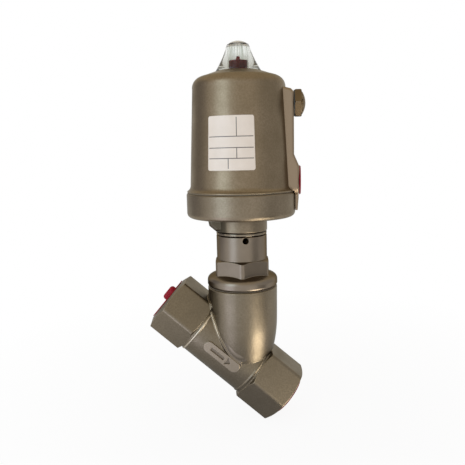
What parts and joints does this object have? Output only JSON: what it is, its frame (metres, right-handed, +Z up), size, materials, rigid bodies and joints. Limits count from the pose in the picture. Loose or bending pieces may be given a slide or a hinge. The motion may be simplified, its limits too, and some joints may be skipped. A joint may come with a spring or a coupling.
{
  "type": "angle seat valve",
  "caption": "Piston-actuated angle seat valve with hexagonal threaded ports, a bonnet neck, a cylindrical spring-return actuator and a clear position dome.",
  "frame": {"origin": "on the outlet port's axis at the mouth of its pipe thread, 3 mm inside the port face", "axes": "+Z up along the stem, +X towards the outlet side, the pipe axis in the XZ plane and running 40 degrees down to +X, -Y the side with the flow arrow and the rating label"},
  "size_m": [0.0976, 0.0658, 0.2306],
  "materials": {
    "cast_stainless": "bead-blasted investment casting",
    "machined_stainless": "fine turned",
    "polished_stainless": "polished",
    "spring_steel": "drawn",
    "aluminium": "turned",
    "brass": "turned",
    "sintered_bronze": "porous sintered",
    "bronze": "turned",
    "ptfe": "skived",
    "filled_ptfe": "machined",
    "seal_rubber": "moulded",
    "clear_plastic": "clear moulded",
    "red_plastic": "moulded"
  },
  "bodies": {
    "valve": {"valve_body": "cast_stainless", "bonnet": "machined_stainless", "bonnet_gasket": "filled_ptfe", "stem_guide_bush": "filled_ptfe", "packing_spring": "spring_steel", "packing_washer": "machined_stainless", "chevron_packing": "ptfe", "packing_gland": "machined_stainless", "stem_wiper": "seal_rubber", "wiper_snap_ring": "spring_steel", "dust_ring": "polished_stainless", "swivel_snap_wire": "spring_steel", "bonnet_o_ring": "seal_rubber"},
    "actuator": {"actuator_cylinder": "cast_stainless", "actuator_base": "cast_stainless", "base_o_ring": "seal_rubber", "base_guide_bush": "bronze", "rod_seal": "seal_rubber", "rod_seal_ring": "spring_steel", "indicator_guide_bush": "bronze", "indicator_dome": "clear_plastic", "dome_o_ring": "seal_rubber", "silencer_seal": "filled_ptfe", "silencer_body": "brass", "silencer_element": "sintered_bronze", "outer_spring": "spring_steel", "inner_spring": "spring_steel"},
    "stem": {"valve_stem": "polished_stainless", "disc_holder": "machined_stainless", "disc_pin": "polished_stainless", "seat_disc": "ptfe", "disc_retainer": "machined_stainless", "disc_nut": "machined_stainless", "piston": "aluminium", "piston_lip_seal": "seal_rubber", "piston_wear_ring": "filled_ptfe", "piston_washer": "machined_stainless", "piston_nut": "machined_stainless", "position_indicator": "red_plastic"},
    "inlet_plug": {"inlet_port_plug": "red_plastic"},
    "outlet_plug": {"outlet_port_plug": "red_plastic"},
    "pilot_plug": {"pilot_port_plug": "red_plastic"}
  },
  "joints": [
    {"name": "actuator_swivel", "type": "hinge", "parent": "valve", "child": "actuator", "pos_m": [-0.02398, 0, 0.10812], "axis": [0, 0, 1], "continuous": true},
    {"name": "stem_lift", "type": "slide", "parent": "actuator", "child": "stem", "axis": [0, 0, 1], "range_m": [0, 0.0085], "stiffness_N_per_m": 2000, "springref_m": -0.01, "deforming": ["outer_spring", "inner_spring"]},
    {"name": "inlet_plug_pull", "type": "slide", "parent": "valve", "child": "inlet_plug", "axis": [-0.766, 0, 0.6428], "range_m": [0, 0.12]},
    {"name": "outlet_plug_pull", "type": "slide", "parent": "valve", "child": "outlet_plug", "axis": [0.766, 0, -0.6428], "range_m": [0, 0.12]},
    {"name": "pilot_plug_pull", "type": "slide", "parent": "actuator", "child": "pilot_plug", "axis": [1, 0, 0], "range_m": [0, 0.12]}
  ]
}
